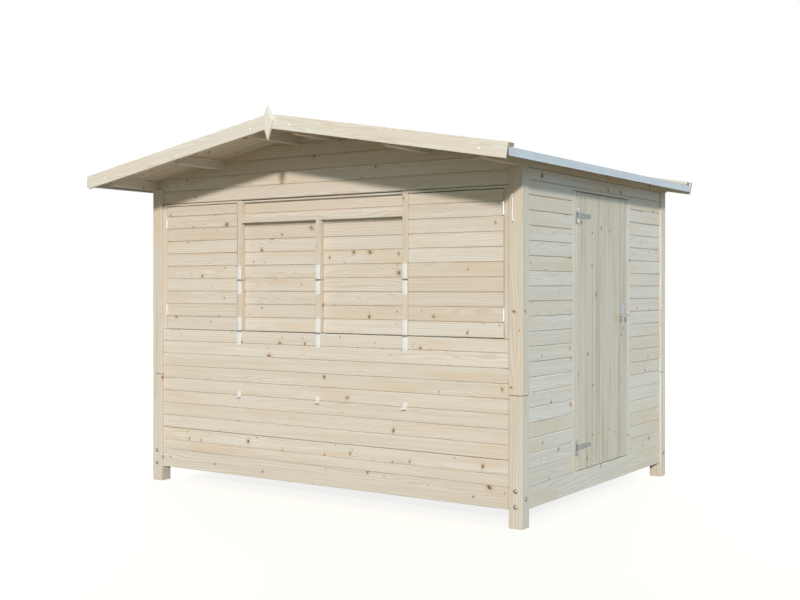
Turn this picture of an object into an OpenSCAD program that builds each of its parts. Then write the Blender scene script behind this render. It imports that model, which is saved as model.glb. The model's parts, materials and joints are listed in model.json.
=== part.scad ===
// Wooden garden shed with a serving hatch: boarded walls between four corner posts,
// a low gable roof with a deep front overhang, and a boarded door in the right side.
// Millimetres. +Z is up, the front faces -Y, and the origin is on the ground under
// the middle of the whole outline.

/* [Footprint] */
// Length over the corner posts, along the front
shed_w = 3050; // [2800:10:4000]
// Depth over the corner posts
shed_d = 2290; // [1900:10:3200]
// Side of the square corner posts
post_s = 90; // [80:1:110]
// Height of the butt joint between the two lengths of each post
post_joint = 776; // [500:1:950]
// Height of the walls, from the ground to the eave purlins
wall_top = 2121; // [2085:1:2300]

/* [Base and floor] */
// Clear height under the base beams
base_clear = 104; // [60:1:150]
// Height of the base beams
base_h = 131; // [120:1:160]
// Thickness of the base beams
beam_t = 45; // [35:1:60]
// Thickness of the floor boards
floor_t = 19; // [15:1:28]
// Width of a floor joist
joist_w = 45; // [35:1:60]
// Height of a floor joist
joist_h = 95; // [70:1:100]
// Number of floor joists
joist_count = 5; // [4:1:7]

/* [Walls] */
// Thickness of the wall boards
board_t = 19; // [15:1:24]
// Distance of the front and rear boards behind the post faces
board_setback = 19; // [10:1:24]
// Distance of the side boards behind the post faces
side_setback = 10; // [6:1:24]
// Side of the square battens behind the boards
batten_s = 45; // [35:1:46]
// Height of the joint between the skirt panel and the wall panel
skirt_top = 392; // [330:1:480]
// Open joint between two wall panels
panel_gap = 3; // [2:0.5:6]

/* [Serving hatch] */
// Height of the hatch sill
hatch_sill = 1107; // [1000:1:1200]
// Height of the top of the hatch
hatch_top = 2012; // [1960:1:2040]
// Height of the strip over the shutters
head_h = 14; // [10:1:30]
// Width of the fixed strip between a corner post and its shutter
hatch_jamb_w = 40; // [25:1:60]
// Open joint round the shutters
shutter_gap = 3; // [2:0.5:5]
// Width of a folding counter arm
arm_w = 40; // [36:1:60]
// Depth of a folding counter arm
arm_d = 40; // [30:1:42]
// Distance from the middle arm to an outer arm
arm_pitch = 692; // [600:1:760]
// Height of the hinge between an arm and the stile above it
arm_joint = 1460; // [1350:1:1600]
// Height of the underside of the counter rail
rail_low = 1855; // [1700:1:1880]
// Height of the counter rail
rail_h = 42; // [30:1:60]

/* [Fittings of the hatch] */
// Length of one leaf of a counter hinge
leaf_l = 98; // [70:1:120]
// Width of a counter hinge
leaf_w = 34; // [24:1:36]
// Thickness of the hinge metal
leaf_t = 2.5; // [2:0.5:4]
// Radius of a counter hinge knuckle
leaf_knuckle_r = 5; // [4:0.5:8]
// Height of the middle of the arm rests on the front wall
rest_z = 669; // [560:1:800]
// Width of an arm rest
rest_w = 30; // [20:1:45]
// Height of an arm rest
rest_h = 46; // [30:1:70]
// Reach of an arm rest in front of the wall
rest_reach = 24; // [15:1:40]
// Length of a shutter hinge
shutter_hinge_l = 80; // [60:1:100]
// Radius of a shutter hinge knuckle
shutter_hinge_r = 5.5; // [4:0.5:7]
// Distance of the shutter hinges from the sill and from the head
shutter_hinge_inset = 102; // [80:1:160]
// Distance of the upper shutter hinges below the hatch head
shutter_hinge_drop = 160; // [120:1:200]
// Length of the cabin hook on the right front post
hook_l = 150; // [100:1:220]
// Height of the upper end of the cabin hook
hook_top = 1949; // [1700:1:2000]
// Radius of the cabin hook's rod
hook_r = 3; // [2:0.5:4]
// Reach of the cabin hook's pins in front of the post
hook_reach = 11; // [8:1:16]

/* [Roof] */
// Slope of the roof in degrees
pitch = 10; // [8:0.5:14]
// Overhang of the eaves beyond the posts
eave_over = 165; // [120:1:260]
// Overhang of the front barge beyond the posts
front_over = 472; // [300:1:700]
// Overhang of the rear barge beyond the posts
rear_over = 83; // [60:1:200]
// Thickness of the roof boards
roof_t = 18; // [15:1:24]
// Width of a purlin
purlin_w = 45; // [35:1:60]
// Depth of a purlin at its middle
purlin_h = 60; // [50:1:90]
// Distance of the inner purlins from the ridge
ridge_purlin_x = 160; // [100:1:250]
// Distance of the middle purlins from the ridge
mid_purlin_x = 855; // [600:1:1000]
// Play between pieces that lie on each other along the slope
slope_play = 0.2; // [0.1:0.1:0.4]
// Thickness of the roofing felt
felt_t = 3; // [2:0.5:5]
// Thickness of the drip edge metal
drip_t = 1.5; // [1:0.1:3]
// Width of the drip edge on the roof boards
drip_flange = 60; // [40:1:90]
// Drop of the drip edge below the upper face of the roof boards
drip_drop = 46; // [30:1:60]
// Height of a barge board, square to the slope
barge_h = 90; // [80:1:130]
// Thickness of a barge board
barge_t = 20; // [16:1:28]
// Extra length of the rear barge boards past the drip edges
rear_lap = 12; // [5:1:25]
// Set back of the drip edge from the face of the front barge
drip_setback = 5; // [2:1:14]
// Width of the cap laths behind the barge boards
cap_w = 52; // [40:1:70]
// Thickness of the cap laths
cap_h = 23; // [18:1:32]
// Height of the finial
finial_h = 215; // [160:1:260]
// Width of the finial
finial_w = 90; // [60:1:120]
// Thickness of the finial
finial_t = 18; // [12:1:28]
// Rise of the finial over the barge boards
finial_rise = 49; // [20:1:80]
// Distance of the widest place of the finial below its tip
finial_shoulder = 95; // [60:1:120]

/* [Door] */
// Width of the door leaf
door_w = 815; // [700:1:850]
// Distance of the middle of the door behind the middle of the side wall
door_shift = 25; // [0:1:80]
// Height of the top of the door leaf
door_top = 2020; // [1900:1:2030]
// Running gap round the door leaf
door_gap = 5; // [5:0.5:8]
// Thickness of the door boards
door_t = 20; // [16:1:28]
// Width of the door jambs
jamb_w = 50; // [46:1:70]
// Distance of the jamb faces in front of the wall boards
jamb_proud = 1; // [1:1:30]
// Height of a door ledge
ledge_h = 110; // [80:1:140]
// Thickness of the door ledges and brace
ledge_t = 22; // [18:1:28]
// Height of the middle of the lower hinge
hinge_low_z = 388; // [340:1:460]
// Height of the middle of the upper hinge
hinge_high_z = 1871; // [1780:1:1890]
// Length of a hinge strap
strap_l = 210; // [150:1:300]
// Height of a hinge strap at its barrel
strap_h = 36; // [30:1:50]
// Height of a hinge strap at its tip
strap_tip = 26; // [18:1:30]
// Height of a fixed hinge plate
hinge_plate_h = 100; // [90:1:130]
// Width of a fixed hinge plate
hinge_plate_w = 24; // [20:1:40]
// Thickness of the hinge metal
hinge_t = 3; // [2:0.5:4]
// Radius of a hinge barrel
barrel_r = 7; // [6:0.5:9]
// Radius of a hinge pin
pin_r = 3.5; // [3:0.5:4.5]
// Play between a hinge pin and its barrel
pin_play = 0.3; // [0.2:0.1:0.5]

/* [Door handle] */
// Height of the lever
lever_z = 1216; // [1000:1:1300]
// Distance of the lever from the free edge of the door
lever_backset = 85; // [60:1:110]
// Length of a lever grip
lever_l = 115; // [90:1:140]
// Radius of a lever grip
lever_r = 9; // [7:0.5:11]
// Reach of a lever from its plate
lever_reach = 44; // [36:1:50]
// Radius of the lever spindle
spindle_r = 6; // [5:0.5:7]
// Play round the lever spindle
spindle_play = 0.4; // [0.3:0.1:0.8]
// Height of a handle plate
plate_h = 222; // [180:1:260]
// Width of a handle plate
plate_w = 42; // [34:1:54]
// Thickness of a handle plate
plate_t = 6; // [4:0.5:9]
// Height of the lever above the middle of its plate
plate_rise = 32; // [20:1:50]
// Radius of the keyhole
keyhole_r = 5; // [4:0.5:7]
// Distance of the keyhole below the lever
keyhole_drop = 85; // [65:1:100]
// Width of the keep plate on the jamb
keep_w = 25; // [18:1:34]
// Height of the keep plate
keep_h = 88; // [60:1:110]
// Height of the middle of the keep plate
keep_z = 1876; // [1700:1:1950]

/* [Hidden] */
$fn = 48;
lift = 0.5;

base_top = base_clear + base_h;
x_post = shed_w / 2;
x_in = x_post - post_s;
x_board = x_post - side_setback;
x_back = x_board - board_t;
x_batten = x_back - batten_s;

outline_d = finial_t + front_over + shed_d + rear_over;
y_finial = -outline_d / 2;
y_barge = y_finial + finial_t;
y_front = y_barge + front_over;
y_rear = y_front + shed_d;
y_barge_rear = y_rear + rear_over;
y_mid = (y_front + y_rear) / 2;
y_door = y_mid + door_shift;
y_board = y_front + board_setback;
y_back = y_board + board_t;
y_batten = y_back + batten_s;
y_roof = [y_barge + barge_t, y_barge_rear - barge_t];

roof_half = x_post + eave_over;
eave_purlin_x = x_post - purlin_w / 2;
eave_under = wall_top + purlin_h - (roof_half - eave_purlin_x) * tan(pitch);
plumb = 1 / cos(pitch);
function under(x) = eave_under + (roof_half - x) * tan(pitch);
function carry(x) = under(x) - slope_play * plumb;
function board_top(x) = under(x) + roof_t * plumb;
function drip_low(x) = board_top(x) + slope_play * plumb;
function drip_top(x) = drip_low(x) + drip_t * plumb;
function felt_top(x) = drip_top(x) + (slope_play + felt_t) * plumb;
function cap_low(x) = felt_top(x) + slope_play * plumb;
function cap_top(x) = cap_low(x) + cap_h * plumb;
function purlin_low(c) = under(c) - purlin_h;
felt_end = roof_half - drip_flange / 4;
flange_in = roof_half - drip_flange;

arms_x = [-arm_pitch, 0, arm_pitch];
centre_half = arm_pitch + arm_w / 2;
shutter_in = centre_half + shutter_gap;
shutter_out = x_in - hatch_jamb_w - shutter_gap;
shutter_x = [shutter_in, shutter_out];
shutter_z = [hatch_sill + shutter_gap, hatch_top - head_h - shutter_gap];
y_panel = y_board + arm_d;

x_jamb = x_board + jamb_proud;
door_half = door_w / 2;
doorway_half = door_half + door_gap;
jamb_half = doorway_half + jamb_w;
door_z = [base_top + door_gap, door_top];
doorway_top = door_top + door_gap;
x_door_back = x_jamb - door_t;
x_ledge = x_door_back - ledge_t;
hinge_y = y_door - door_half - door_gap / 2;
hinge_x = x_jamb + barrel_r + lift;
hinge_heights = [hinge_low_z, hinge_high_z];
barrel_cut = barrel_r + 2;
lever_y = y_door + door_half - lever_backset;

timber = "#d8c7a6";
pale_timber = "#e2d6bf";
felt_grey = "#5a5c5b";
zinc = "#c9d0d6";
steel = "#e3e4e2";

// A box given by its low and high ends along each axis
module block(x, y, z) {
    translate([x[0], y[0], z[0]]) cube([x[1] - x[0], y[1] - y[0], z[1] - z[0]]);
}

// An outline in X and Z carried along Y
module along_y(y) {
    translate([0, y[1], 0]) rotate([90, 0, 0]) linear_extrude(y[1] - y[0]) children();
}

// An outline in Y and Z carried along X
module along_x(x) {
    translate([x[0], 0, 0]) rotate([90, 0, 90]) linear_extrude(x[1] - x[0]) children();
}

// The piece and its mirror image on the left side
module left_and_right() {
    children();
    mirror([1, 0, 0]) children();
}

// The piece of the front and its mirror image at the rear
module front_and_rear() {
    children();
    translate([0, 2 * y_mid, 0]) mirror([0, 1, 0]) children();
}

module corner_posts(z) {
    color(timber) left_and_right() front_and_rear()
        block([x_in, x_post], [y_front, y_front + post_s], z);
}
module lower_posts() {
    corner_posts([0, post_joint]);
}
module upper_posts() {
    corner_posts([post_joint, wall_top]);
}

module long_beams() {
    color(timber) front_and_rear()
        block([-x_in, x_in], [y_board, y_board + beam_t], [base_clear, base_top]);
}
module short_beams() {
    color(timber) left_and_right()
        block([x_board - beam_t, x_board], [y_front + post_s, y_rear - post_s], [base_clear, base_top]);
}
module floor_deck() {
    deck_x = x_board - beam_t;
    deck_z = [base_top - floor_t, base_top];
    color(timber) difference() {
        block([-deck_x, deck_x], [y_board + beam_t, 2 * y_mid - y_board - beam_t], deck_z);
        left_and_right() front_and_rear()
            block([x_in, x_post], [y_front, y_front + post_s], [deck_z[0] - lift, deck_z[1] + lift]);
    }
}
module floor_joists() {
    span = 2 * (x_in - joist_w);
    step = span / (joist_count - 1);
    joist_z = [base_top - floor_t - joist_h, base_top - floor_t];
    color(timber) for (i = [0 : joist_count - 1]) {
        middle = i * step - span / 2;
        block([middle - joist_w / 2, middle + joist_w / 2],
            [y_board + beam_t, 2 * y_mid - y_board - beam_t], joist_z);
    }
}

module front_skirt() {
    color(pale_timber) block([-x_in, x_in], [y_board, y_back], [base_top, skirt_top - panel_gap / 2]);
}
module front_wall() {
    color(pale_timber) block([-x_in, x_in], [y_board, y_back], [skirt_top + panel_gap / 2, hatch_sill]);
}
module rear_wall() {
    color(pale_timber) translate([0, 2 * y_mid, 0]) mirror([0, 1, 0])
        block([-x_in, x_in], [y_board, y_back], [base_top, hatch_top]);
}

// The gable fills in between the posts and the roof and is notched round the purlins
function notch(c) = [
    [c + purlin_w / 2, carry(c + purlin_w / 2)],
    [c + purlin_w / 2, purlin_low(c)],
    [c - purlin_w / 2, purlin_low(c)],
    [c - purlin_w / 2, carry(c - purlin_w / 2)]
];
module gable() {
    shoulder = x_post - purlin_w;
    half = concat(
        [[x_in, hatch_top + panel_gap], [x_in, wall_top], [shoulder, wall_top], [shoulder, carry(shoulder)]],
        notch(mid_purlin_x), notch(ridge_purlin_x), [[0, carry(0)]]);
    other = [for (i = [len(half) - 2 : -1 : 0]) [-half[i][0], half[i][1]]];
    color(pale_timber) along_y([y_board, y_back]) polygon(concat(half, other));
}
module front_gable() {
    gable();
}
module rear_gable() {
    translate([0, 2 * y_mid, 0]) mirror([0, 1, 0]) gable();
}

// Boards of a side wall between two places along Y
module side_boards(y, z) {
    color(pale_timber) block([x_back, x_board], y, z);
}
module left_wall() {
    mirror([1, 0, 0]) side_boards([y_front + post_s, y_rear - post_s], [base_top, wall_top]);
}
module right_wall_front() {
    side_boards([y_front + post_s, y_door - jamb_half], [base_top, wall_top]);
}
module right_wall_rear() {
    side_boards([y_door + jamb_half, y_rear - post_s], [base_top, wall_top]);
}
module right_wall_head() {
    side_boards([y_door - jamb_half, y_door + jamb_half], [doorway_top, wall_top]);
}

// Upright battens behind the boards of each wall
module wall_battens() {
    post_batten = x_in - batten_s;
    side_span = shed_d - 2 * post_s - batten_s;
    long_rows = [-post_batten, -centre_half, -batten_s / 2, centre_half - batten_s, post_batten - batten_s];
    color(timber) {
        for (x = long_rows) {
            block([x, x + batten_s], [y_back, y_batten], [base_top, hatch_sill]);
            block([x, x + batten_s], [2 * y_mid - y_batten, 2 * y_mid - y_back], [base_top, hatch_top]);
        }
        for (share = [0 : 1 / 3 : 1]) {
            y = y_front + post_s + share * side_span;
            block([-x_back, -x_batten], [y, y + batten_s], [base_top, wall_top]);
        }
        for (y = [y_front + post_s, y_rear - post_s - batten_s])
            block([x_batten, x_back], [y, y + batten_s], [base_top, wall_top]);
    }
}

// Uprights of the hatch: a strip beside each post and one behind each shutter edge
module hatch_frame() {
    hatch_z = [hatch_sill, hatch_top - head_h];
    color(timber) left_and_right() {
        block([x_in - hatch_jamb_w, x_in], [y_board, y_batten], hatch_z);
        block([centre_half, centre_half + batten_s], [y_back, y_batten], hatch_z);
    }
}
module hatch_head() {
    head_z = [hatch_top - head_h, hatch_top];
    color(pale_timber) {
        left_and_right() block([centre_half, x_in], [y_board, y_batten], head_z);
        block([-arm_pitch + arm_w / 2, arm_pitch - arm_w / 2], [y_back, y_panel], head_z);
    }
}
module right_shutter() {
    color(pale_timber) block(shutter_x, [y_board, y_back], shutter_z);
}
module left_shutter() {
    mirror([1, 0, 0]) right_shutter();
}

// The folding counter: boards at the back, arms and stiles in front, a rail between the outer stiles
module centre_panel() {
    color(pale_timber)
        block([-centre_half, centre_half], [y_panel, y_panel + board_t], [hatch_sill, hatch_top]);
}
module counter_rail() {
    rail_x = arm_pitch - arm_w / 2;
    color(pale_timber) block([-rail_x, rail_x], [y_board, y_panel], [rail_low, rail_low + rail_h]);
}
module counter_arms() {
    color(timber) for (x = arms_x)
        block([x - arm_w / 2, x + arm_w / 2], [y_board, y_panel],
            [hatch_sill + panel_gap, arm_joint - panel_gap / 2]);
}
module counter_stiles() {
    color(timber) for (x = arms_x)
        block([x - arm_w / 2, x + arm_w / 2], [y_board, y_panel],
            [arm_joint + panel_gap / 2, x == 0 ? rail_low : hatch_top]);
}

// A strap hinge of two leaves with a knuckle between them, lying on the boards
module counter_hinges() {
    color(steel) for (x = arms_x, z = [hatch_sill, arm_joint]) {
        block([x - leaf_w / 2, x + leaf_w / 2], [y_board - leaf_t, y_board], [z - leaf_l, z + leaf_l]);
        translate([x - leaf_w / 2, y_board - leaf_knuckle_r, z]) rotate([0, 90, 0])
            cylinder(r = leaf_knuckle_r, h = leaf_w);
    }
}
module arm_rests() {
    rest_low = rest_z - rest_h / 2;
    angle = [[0, rest_low], [-rest_reach, rest_low], [-rest_reach, rest_low + rest_reach / 2],
        [-rest_reach + leaf_t, rest_low + rest_reach / 2], [-rest_reach + leaf_t, rest_low + leaf_t],
        [-leaf_t, rest_low + leaf_t], [-leaf_t, rest_low + rest_h], [0, rest_low + rest_h]];
    color(steel) for (x = arms_x)
        translate([0, y_board, 0]) along_x([x - rest_w / 2, x + rest_w / 2]) polygon(angle);
}
module shutter_hinges() {
    low = hatch_sill + shutter_hinge_inset;
    high = hatch_top - head_h - shutter_hinge_drop;
    color(steel) left_and_right() for (z = [low, high]) {
        translate([shutter_out + shutter_gap / 2, y_board - shutter_hinge_r, z])
            cylinder(r = shutter_hinge_r, h = shutter_hinge_l);
        block([shutter_out, shutter_out + shutter_gap], [y_board - shutter_hinge_r, y_back],
            [z, z + shutter_hinge_l]);
    }
}

// A rod between two pins, with a round eye at its upper end
module cabin_hook() {
    hook_x = x_post - post_s * 2 / 3;
    eye_r = 2 * hook_r;
    hook_y = y_front - hook_reach + hook_r;
    color(steel) {
        translate([hook_x, hook_y, hook_top - hook_l]) cylinder(r = hook_r, h = hook_l);
        for (z = [hook_top - hook_l, hook_top])
            translate([hook_x, y_front, z]) rotate([90, 0, 0]) cylinder(r = eye_r, h = hook_reach);
    }
}

// A purlin runs from barge to barge, and its upper face lies against the roof boards
module purlin_pair(c) {
    color(timber) left_and_right() along_y(y_roof) polygon([
        [c - purlin_w / 2, purlin_low(c)], [c + purlin_w / 2, purlin_low(c)],
        [c + purlin_w / 2, carry(c + purlin_w / 2)], [c - purlin_w / 2, carry(c - purlin_w / 2)]]);
}
module ridge_purlins() {
    purlin_pair(ridge_purlin_x);
}
module mid_purlins() {
    purlin_pair(mid_purlin_x);
}
module eave_purlins() {
    purlin_pair(eave_purlin_x);
}

module roof_right() {
    color(timber) along_y(y_roof) polygon([[0, under(0)], [roof_half, under(roof_half)],
        [roof_half, board_top(roof_half)], [0, board_top(0)]]);
}
module roof_left() {
    mirror([1, 0, 0]) roof_right();
}

// The felt crosses the ridge in one sheet and laps over the flanges of the drip edges
module roof_felt() {
    lap = slope_play * plumb;
    lap_in = flange_in - slope_play;
    half = [[felt_end, felt_top(felt_end)], [felt_end, drip_top(felt_end) + lap],
        [lap_in, drip_top(lap_in) + lap], [lap_in, drip_low(lap_in)], [0, drip_low(0)]];
    other = [for (i = [len(half) - 2 : -1 : 0]) [-half[i][0], half[i][1]]];
    color(felt_grey) along_y(y_roof) polygon(concat(half, other, [[0, felt_top(0)]]));
}
module drip_edges() {
    foot = board_top(roof_half) - drip_drop;
    outer = roof_half + drip_t;
    color(zinc) left_and_right() {
        along_y(y_roof) polygon([[flange_in, drip_low(flange_in)], [roof_half, drip_low(roof_half)],
            [roof_half, foot], [outer, foot], [outer, drip_top(outer)], [flange_in, drip_top(flange_in)]]);
        block([roof_half, outer], [y_barge + drip_setback, y_roof[0]], [foot, board_top(outer)]);
    }
}

// A barge board on the right slope, cut plumb at the ridge and square at the eave
module barge(length, y) {
    color(pale_timber) along_y(y) polygon([[0, cap_top(0)], [length, cap_top(length)],
        [length - barge_h * sin(pitch), cap_top(length) - barge_h * cos(pitch)],
        [0, cap_top(0) - barge_h * plumb]]);
}
module right_barges() {
    barge(roof_half, [y_barge, y_roof[0]]);
    barge(roof_half + rear_lap, [y_roof[1], y_barge_rear]);
}
module left_barges() {
    mirror([1, 0, 0]) right_barges();
}
module right_caps() {
    outline = [[0, cap_low(0)], [roof_half, cap_low(roof_half)],
        [roof_half, cap_top(roof_half)], [0, cap_top(0)]];
    color(pale_timber) {
        along_y([y_roof[0], y_roof[0] + cap_w]) polygon(outline);
        along_y([y_roof[1] - cap_w, y_roof[1]]) polygon(outline);
    }
}
module left_caps() {
    mirror([1, 0, 0]) right_caps();
}
module finial() {
    top = cap_top(0) + finial_rise;
    wide = top - finial_shoulder;
    color(pale_timber) along_y([y_finial, y_barge]) polygon([[0, top], [finial_w / 2, wide],
        [0, top - finial_h], [-finial_w / 2, wide]]);
}

module door_jambs() {
    color(timber) for (y = [y_door - jamb_half, y_door + doorway_half])
        block([x_batten, x_jamb], [y, y + jamb_w], [base_top, doorway_top]);
}
module door_lintel() {
    color(timber)
        block([x_batten, x_back], [y_door - jamb_half, y_door + jamb_half], [doorway_top, wall_top]);
}
module door_leaf() {
    color(pale_timber) difference() {
        block([x_door_back, x_jamb], [y_door - door_half, y_door + door_half], door_z);
        translate([x_door_back - lift, lever_y, lever_z]) rotate([0, 90, 0])
            cylinder(r = spindle_r + 2, h = door_t + 2 * lift);
    }
}

// Two ledges behind the hinge straps and a brace that rises from the hinge side
ledge_half = door_half - ledge_t;
module door_ledges() {
    color(timber) for (z = hinge_heights)
        block([x_ledge, x_door_back], [y_door - ledge_half, y_door + ledge_half],
            [z - ledge_h / 2, z + ledge_h / 2]);
}
module door_brace() {
    low = hinge_low_z + ledge_h / 2;
    high = hinge_high_z - ledge_h / 2;
    foot = y_door - ledge_half;
    head = y_door + ledge_half;
    color(timber) along_x([x_ledge, x_door_back])
        polygon([[foot, low], [foot + ledge_h, low], [head, high], [head - ledge_h, high]]);
}

// Fixed half of a T hinge: plate on the jamb, two barrel ends and the pin
module hinge_plates() {
    half = hinge_plate_h / 2;
    open = strap_h / 2 + 1;
    color(steel) for (z = hinge_heights) {
        difference() {
            union() {
                block([x_jamb, x_jamb + hinge_t], [hinge_y - barrel_r - hinge_plate_w, hinge_y],
                    [z - half, z + half]);
                translate([hinge_x, hinge_y, z - half]) cylinder(r = barrel_r, h = hinge_plate_h);
            }
            block([x_jamb - lift, hinge_x + barrel_cut], [hinge_y - barrel_cut, hinge_y + barrel_cut],
                [z - open, z + open]);
        }
        translate([hinge_x, hinge_y, z - half]) cylinder(r = pin_r, h = hinge_plate_h);
    }
}

// Moving half of a T hinge: a tapered strap with a rounded end and a barrel round the pin
module hinge_straps() {
    tip_r = strap_tip / 2;
    tip_y = hinge_y + strap_l - tip_r;
    taper = [[hinge_y, -strap_h / 2], [tip_y, -tip_r], [tip_y, tip_r], [hinge_y, strap_h / 2]];
    color(steel) for (z = hinge_heights) {
        difference() {
            union() {
                translate([0, 0, z]) along_x([x_jamb, x_jamb + hinge_t]) polygon(taper);
                translate([x_jamb, tip_y, z]) rotate([0, 90, 0]) cylinder(r = tip_r, h = hinge_t);
                translate([hinge_x, hinge_y, z - strap_h / 2]) cylinder(r = barrel_r, h = strap_h);
            }
            translate([hinge_x, hinge_y, z - strap_h / 2 - lift])
                cylinder(r = pin_r + pin_play, h = strap_h + 2 * lift);
        }
    }
}
module door_keep() {
    keep_y = y_door + doorway_half + door_gap;
    color(steel) block([x_jamb, x_jamb + hinge_t], [keep_y, keep_y + keep_w],
        [keep_z - keep_h / 2, keep_z + keep_h / 2]);
}

// A long plate with round ends, a hole for the spindle and a keyhole
module handle_plate(x) {
    plate_mid = lever_z - plate_rise;
    end = plate_h / 2 - plate_w / 2;
    difference() {
        union() {
            block([x, x + plate_t], [lever_y - plate_w / 2, lever_y + plate_w / 2],
                [plate_mid - end, plate_mid + end]);
            for (z = [plate_mid - end, plate_mid + end])
                translate([x, lever_y, z]) rotate([0, 90, 0]) cylinder(r = plate_w / 2, h = plate_t);
        }
        translate([x - lift, lever_y, lever_z]) rotate([0, 90, 0])
            cylinder(r = spindle_r + spindle_play, h = plate_t + 2 * lift);
        translate([x - lift, lever_y, lever_z - keyhole_drop]) rotate([0, 90, 0])
            cylinder(r = keyhole_r, h = plate_t + 2 * lift);
    }
}
module handle_plates() {
    color(steel) {
        handle_plate(x_jamb);
        handle_plate(x_door_back - plate_t);
    }
}

// One spindle through the door with a lever at each end, both pointing to the hinges
module lever() {
    out = x_jamb + plate_t + lever_reach;
    in = x_door_back - plate_t - lever_reach;
    color(steel) translate([0, lever_y, lever_z]) {
        translate([in, 0, 0]) rotate([0, 90, 0]) cylinder(r = spindle_r, h = out - in);
        for (x = [in, out]) {
            translate([x, 0, 0]) sphere(r = lever_r);
            translate([x, 0, 0]) rotate([90, 0, 0]) cylinder(r = lever_r, h = lever_l);
            translate([x, -lever_l, 0]) sphere(r = lever_r);
        }
    }
}

lower_posts();
upper_posts();
long_beams();
short_beams();
floor_deck();
floor_joists();
front_skirt();
front_wall();
front_gable();
rear_wall();
rear_gable();
left_wall();
right_wall_front();
right_wall_rear();
right_wall_head();
wall_battens();
hatch_frame();
hatch_head();
left_shutter();
right_shutter();
centre_panel();
counter_rail();
counter_arms();
counter_stiles();
counter_hinges();
arm_rests();
shutter_hinges();
cabin_hook();
ridge_purlins();
mid_purlins();
eave_purlins();
roof_left();
roof_right();
roof_felt();
drip_edges();
left_barges();
right_barges();
left_caps();
right_caps();
finial();
door_jambs();
door_lintel();
hinge_plates();
door_keep();
door_leaf();
door_ledges();
door_brace();
hinge_straps();
handle_plates();
lever();
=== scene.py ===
import json
import math
import bpy
import numpy as np
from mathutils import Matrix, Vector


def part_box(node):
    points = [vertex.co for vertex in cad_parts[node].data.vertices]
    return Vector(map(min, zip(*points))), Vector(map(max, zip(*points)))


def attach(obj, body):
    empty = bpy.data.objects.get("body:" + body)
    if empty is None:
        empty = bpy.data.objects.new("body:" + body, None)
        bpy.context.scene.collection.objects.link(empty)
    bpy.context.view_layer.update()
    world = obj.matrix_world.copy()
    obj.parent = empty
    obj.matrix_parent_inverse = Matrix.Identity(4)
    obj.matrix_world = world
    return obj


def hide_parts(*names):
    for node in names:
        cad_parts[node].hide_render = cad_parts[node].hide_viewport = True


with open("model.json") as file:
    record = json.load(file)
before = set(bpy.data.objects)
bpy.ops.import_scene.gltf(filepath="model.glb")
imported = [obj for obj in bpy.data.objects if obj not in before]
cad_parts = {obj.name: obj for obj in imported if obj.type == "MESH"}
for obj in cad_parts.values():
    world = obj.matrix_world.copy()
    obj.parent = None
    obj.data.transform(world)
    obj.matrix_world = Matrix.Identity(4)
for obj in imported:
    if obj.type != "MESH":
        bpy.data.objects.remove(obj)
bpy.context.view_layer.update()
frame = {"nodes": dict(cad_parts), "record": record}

rng = np.random.default_rng(41)
ex, ey, ez = np.eye(3)  # unit vectors
join = np.concatenate


# Boxes round the separate solids of a CAD node: corners that share a face take the lowest
# label among them, over and over, until no label changes.
def solidBoxes(node):
    mesh = frame["nodes"][node].data
    points = np.empty(len(mesh.vertices) * 3, np.float32)
    mesh.vertices.foreach_get("co", points)
    mesh.calc_loop_triangles()
    corners = np.empty(len(mesh.loop_triangles) * 3, np.int32)
    mesh.loop_triangles.foreach_get("vertices", corners)
    places, same = np.unique(points.reshape(-1, 3), axis=0, return_inverse=True)
    corners = same.ravel()[corners].reshape(-1, 3)
    label = np.arange(len(places))
    while True:
        lower = label.copy()
        np.minimum.at(lower, corners.ravel(), np.repeat(label[corners].min(1), 3))
        if (lower == label).all():
            break
        label = lower
    solids = [places[label == g].astype(float) for g in np.unique(label)]
    return np.array([p.min(0) for p in solids]), np.array([p.max(0) for p in solids])


# The two corners of the box round a whole CAD node.
def nodeBox(node):
    return np.array(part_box(node), float)


# Coordinates side by side, with single numbers repeated to fit the arrays.
def at(*parts):
    return np.stack(np.broadcast_arrays(*parts), -1)


# Each row divided by its own length.
def unit(rows):
    return rows / np.linalg.norm(rows, axis=-1, keepdims=True)


# Values as floats, each repeated to the given shape.
def fill(shape, *values):
    return [np.broadcast_to(np.asarray(v, float), shape) for v in values]


# Rows of a section: share of the width, distance across, share of the thickness, distance in.
# A rectangle whose four corners are rounded in two facets.
def squareSection(arris):
    q = arris * .293  # how far the middle of a round corner lies inside both edges
    return np.array([
        (0, arris, 0, 0), (1, -arris, 0, 0), (1, -q, 0, q), (1, 0, 0, arris),
        (1, 0, 1, -arris), (1, -q, 1, -q), (1, -arris, 1, 0),
        (0, arris, 1, 0), (0, q, 1, -q), (0, 0, 1, -arris), (0, 0, 0, arris), (0, q, 0, q)])


# A board with a tongue on one edge, a groove in the other and a bevel along both edges of its face.
def tonguedSection(bevel, deep, tongue, gap):
    front, back = .38, .62  # the tongue's two faces as shares of the thickness
    mouth, heel, sunk = .32, .68, tongue + .001  # the groove's, and its depth
    return np.array([
        (0, bevel, 0, 0), (1, -bevel - gap, 0, 0), (1, -gap, 0, deep), (1, -gap, front, 0),
        (1, tongue, front, 0), (1, tongue, back, 0), (1, -gap, back, 0), (1, -gap, 1, 0),
        (0, 0, 1, 0), (0, 0, heel, 0), (0, sunk, heel, 0), (0, sunk, mouth, 0), (0, 0, mouth, 0),
        (0, 0, 0, deep)])


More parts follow.
